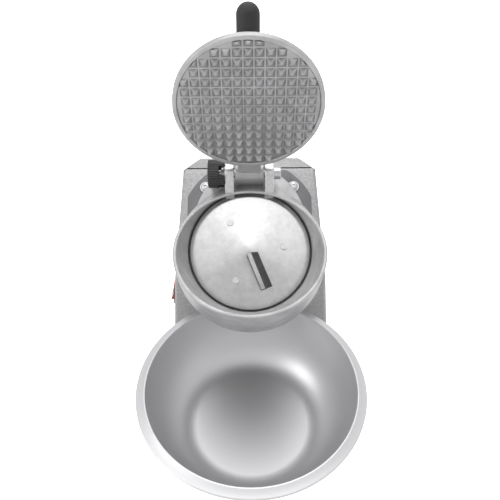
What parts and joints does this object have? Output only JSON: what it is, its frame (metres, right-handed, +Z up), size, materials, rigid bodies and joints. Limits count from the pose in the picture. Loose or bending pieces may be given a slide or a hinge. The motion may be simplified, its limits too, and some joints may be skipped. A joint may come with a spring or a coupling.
{
  "type": "ice shaver",
  "caption": "Tabletop electric ice shaver: tapered painted body, cast hopper with a hinged studded lid, spinning steel disc and a loose steel bowl under the outlet.",
  "frame": {"origin": "on the table, under the middle of the whole footprint of machine and bowl", "axes": "+Z up; -Y towards the user, where the bowl stands; +X to the user's right"},
  "size_m": [0.239, 0.3993, 0.3959],
  "materials": {
    "grey_hammered_paint": "grey hammered enamel on steel sheet",
    "dark_grey_paint": "satin dark grey paint",
    "cast_aluminium": "die-cast, silver painted, satin",
    "brushed_stainless": "turned and brushed stainless steel",
    "spun_stainless": "spun stainless steel, satin",
    "bright_steel": "zinc-plated steel",
    "lamination_steel": "stacked laminations",
    "bronze": "sintered bronze",
    "black_moulded_plastic": "moulded, fine texture",
    "black_rubber": "matt rubber",
    "white_plastic_can": "moulded",
    "red_plastic": "glossy, translucent red"
  },
  "bodies": {
    "root": {"housing": "grey_hammered_paint", "rear_cover": "grey_hammered_paint", "rear_cover_screws": "bright_steel", "base_plate": "grey_hammered_paint", "foot_front_left": "black_rubber", "foot_front_right": "black_rubber", "foot_rear_left": "black_rubber", "foot_rear_right": "black_rubber", "foot_screws": "bright_steel", "mounting_plate": "dark_grey_paint", "plate_bolts": "bright_steel", "plate_washers": "bright_steel", "plate_nuts": "bright_steel", "hopper": "cast_aluminium", "knife_wall": "cast_aluminium", "neck_screws": "bright_steel", "drum_bearing": "bright_steel", "shaft_seal": "black_rubber", "blade_left": "brushed_stainless", "blade_right": "brushed_stainless", "blade_screws": "bright_steel", "hinge_bolt": "bright_steel", "hinge_spring": "bright_steel", "hinge_washers": "bright_steel", "motor_posts": "bright_steel", "post_screws": "bright_steel", "motor_front_bell": "cast_aluminium", "motor_stator": "lamination_steel", "motor_rear_bell": "cast_aluminium", "motor_tie_bolts": "bright_steel", "front_bearing": "bright_steel", "rear_bearing": "bright_steel", "capacitor": "white_plastic_can", "capacitor_strap": "bright_steel", "switch_bezel": "black_moulded_plastic", "cord_gland": "black_moulded_plastic", "gland_nut": "black_moulded_plastic", "terminal_block": "white_plastic_can"},
    "rotor": {"motor_shaft": "bright_steel", "cutter_disc": "brushed_stainless", "disc_hub": "bright_steel", "ice_pusher": "brushed_stainless", "disc_screws": "bright_steel", "rotor_core": "lamination_steel", "cooling_fan": "black_moulded_plastic"},
    "lid": {"lid": "cast_aluminium", "grip_plate": "cast_aluminium", "handle_rod": "bright_steel", "handle_grip": "black_moulded_plastic", "lid_bushes": "bronze"},
    "knob": {"hinge_knob": "black_moulded_plastic"},
    "rocker": {"switch_rocker": "red_plastic"},
    "bowl": {"bowl": "spun_stainless"}
  },
  "joints": [
    {"name": "rotor_spin", "type": "hinge", "parent": "root", "child": "rotor", "pos_m": [0, 0.06021, 0.12401], "axis": [0, -0.5835, 0.8121], "continuous": true},
    {"name": "lid_hinge", "type": "hinge", "parent": "root", "child": "lid", "pos_m": [0, 0.09686, 0.21738], "axis": [1, 0, 0], "range_deg": [-10, 95.5]},
    {"name": "knob_turn", "type": "hinge", "parent": "root", "child": "knob", "pos_m": [0, 0.09686, 0.21738], "axis": [1, 0, 0], "range_deg": [-180, 180]},
    {"name": "switch_rock", "type": "hinge", "parent": "root", "child": "rocker", "pos_m": [-0.09216, 0.06472, 0.066], "axis": [0, 1, 0], "range_deg": [-16, 0]},
    {"name": "bowl_slide", "type": "slide", "parent": "root", "child": "bowl", "axis": [0, -1, 0], "range_m": [0, 0.2]}
  ]
}
